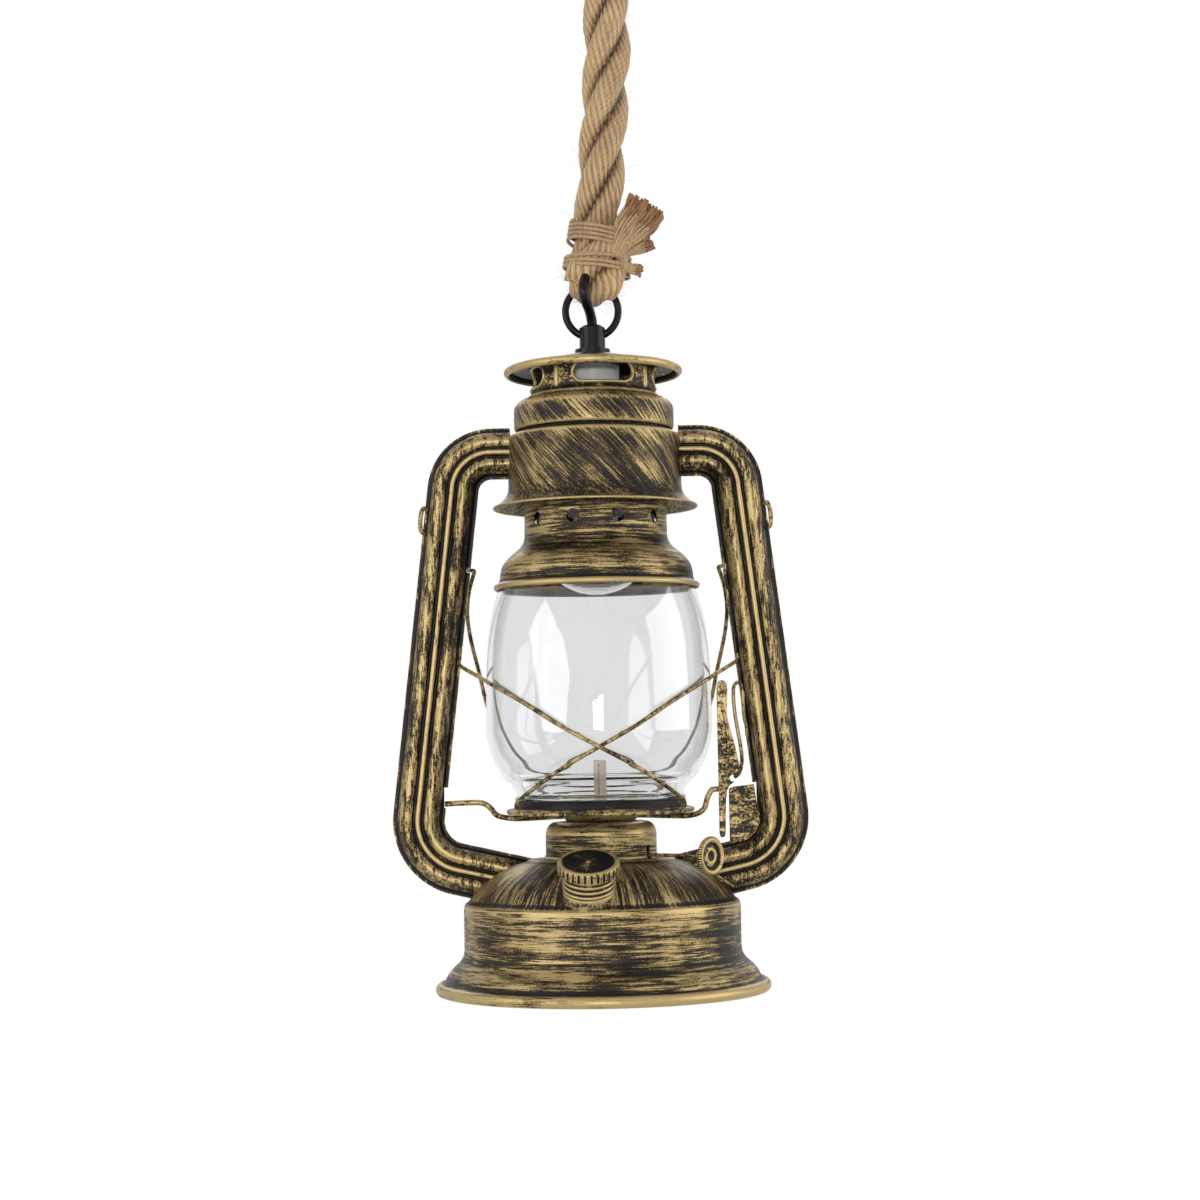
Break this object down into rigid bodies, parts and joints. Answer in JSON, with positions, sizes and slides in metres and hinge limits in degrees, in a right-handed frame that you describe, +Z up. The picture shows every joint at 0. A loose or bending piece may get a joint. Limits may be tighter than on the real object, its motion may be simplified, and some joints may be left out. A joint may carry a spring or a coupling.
{
  "type": "pendant light",
  "caption": "Hurricane-lantern pendant light with glass globe, side tubes, lift lever, wick knob and filler cap, hung on a thick hemp rope from a round ceiling canopy.",
  "frame": {"origin": "middle of the ceiling canopy's upper rim, in the plane of the ceiling", "axes": "+Z up to the ceiling, -Y to the front with the filler cap, +X to the side with the lift lever"},
  "size_m": [0.2024, 0.1626, 0.5896],
  "materials": {
    "aged_brass": "black base paint dry-brushed with antique gold",
    "black_steel": "satin black",
    "zinc_steel": "zinc plated",
    "hemp": "three-strand hemp rope",
    "cable_jacket": "glossy black cable jacket",
    "porcelain": "white glazed",
    "contact_brass": "bright",
    "clear_glass": "clear",
    "filament": "LED filament coating",
    "cotton": "woven wick",
    "gasket_cork": "cork and rubber seal"
  },
  "bodies": {
    "ceiling_fitting": {"ceiling_canopy": "black_steel", "ceiling_bracket": "zinc_steel", "canopy_screws": "black_steel", "upper_fitting": "black_steel", "upper_nut": "zinc_steel", "terminal_block": "porcelain"},
    "rope": {"upper_ring": "black_steel", "rope": "hemp", "rope_tails": "hemp", "upper_whipping": "hemp", "lower_whipping": "hemp", "power_cable": "cable_jacket", "lower_ring": "black_steel"},
    "lantern": {"lower_fitting": "black_steel", "lower_nut": "zinc_steel", "lamp_cable": "cable_jacket", "lampholder": "porcelain", "lamp_contacts": "contact_brass", "bulb_cap": "zinc_steel", "bulb_glass": "clear_glass", "bulb_filaments": "filament", "top_plate": "aged_brass", "crown": "aged_brass", "canopy_drum": "aged_brass", "chimney_guide": "aged_brass", "left_tube_front": "aged_brass", "left_tube_back": "aged_brass", "right_tube_front": "aged_brass", "right_tube_back": "aged_brass", "bail_ears": "aged_brass", "font_dome": "aged_brass", "font_drum": "aged_brass", "bottom_plate": "aged_brass", "filler_neck": "aged_brass", "burner_collar": "aged_brass", "burner_cap": "aged_brass", "wick_tube": "aged_brass", "lever_bracket": "aged_brass", "lever_link": "aged_brass", "front_guard_wire": "aged_brass", "rear_guard_wire": "aged_brass", "shaft_stay": "aged_brass"},
    "globe_carriage": {"globe_plate": "aged_brass", "glass_globe": "clear_glass", "chimney": "aged_brass", "carrier_wire": "aged_brass", "chimney_spring": "zinc_steel"},
    "lift_lever": {"lift_lever": "aged_brass"},
    "filler_seal": {"filler_gasket": "gasket_cork"},
    "filler_cap": {"filler_cap": "aged_brass", "filler_cap_disc": "aged_brass"},
    "wick_shaft": {"wick_shaft": "aged_brass", "wick_knob": "aged_brass"},
    "wick": {"wick": "cotton"},
    "rear_bail": {"rear_bail": "aged_brass"}
  },
  "joints": [
    {"name": "rope_swing", "type": "hinge", "parent": "ceiling_fitting", "child": "rope", "pos_m": [0, 0, -0.0366], "axis": [0, 1, 0], "range_deg": [-15, 15]},
    {"name": "lantern_swing", "type": "hinge", "parent": "rope", "child": "lantern", "pos_m": [0, 0, -0.2682], "axis": [1, 0, 0], "range_deg": [-15, 15]},
    {"name": "globe_lift", "type": "slide", "parent": "lantern", "child": "globe_carriage", "axis": [0, 0, 1], "range_m": [0, 0.006], "deforming": ["chimney_spring"]},
    {"name": "lever_turn", "type": "hinge", "parent": "globe_carriage", "child": "lift_lever", "pos_m": [0.0574, -0.0045, -0.4928], "axis": [1, 0, 0], "range_deg": [0, 120]},
    {"name": "cap_lift", "type": "slide", "parent": "lantern", "child": "filler_seal", "axis": [0, -0.4003, 0.9164], "range_m": [0, 0.005]},
    {"name": "cap_turn", "type": "hinge", "parent": "filler_seal", "child": "filler_cap", "pos_m": [-0.006, -0.05749, -0.53734], "axis": [0, -0.4003, 0.9164], "range_deg": [0, 720]},
    {"name": "wick_knob_turn", "type": "hinge", "parent": "lantern", "child": "wick_shaft", "pos_m": [0.00236, 0.00272, -0.5235], "axis": [0.7547, -0.6561, 0], "range_deg": [-88, 264]},
    {"name": "wick_slide", "type": "slide", "parent": "lantern", "child": "wick", "axis": [0, 0, 1], "range_m": [-0.012, 0.004]},
    {"name": "rear_bail_swing", "type": "hinge", "parent": "lantern", "child": "rear_bail", "pos_m": [0, 0, -0.3838], "axis": [1, 0, 0], "range_deg": [0, 40]}
  ],
  "couplings": [
    {"joint": "lever_turn", "follows": "globe_lift", "rad_per_m": 349.07},
    {"joint": "cap_lift", "follows": "cap_turn", "m_per_rad": 0.00039789},
    {"joint": "wick_slide", "follows": "wick_knob_turn", "m_per_rad": -0.0026}
  ]
}
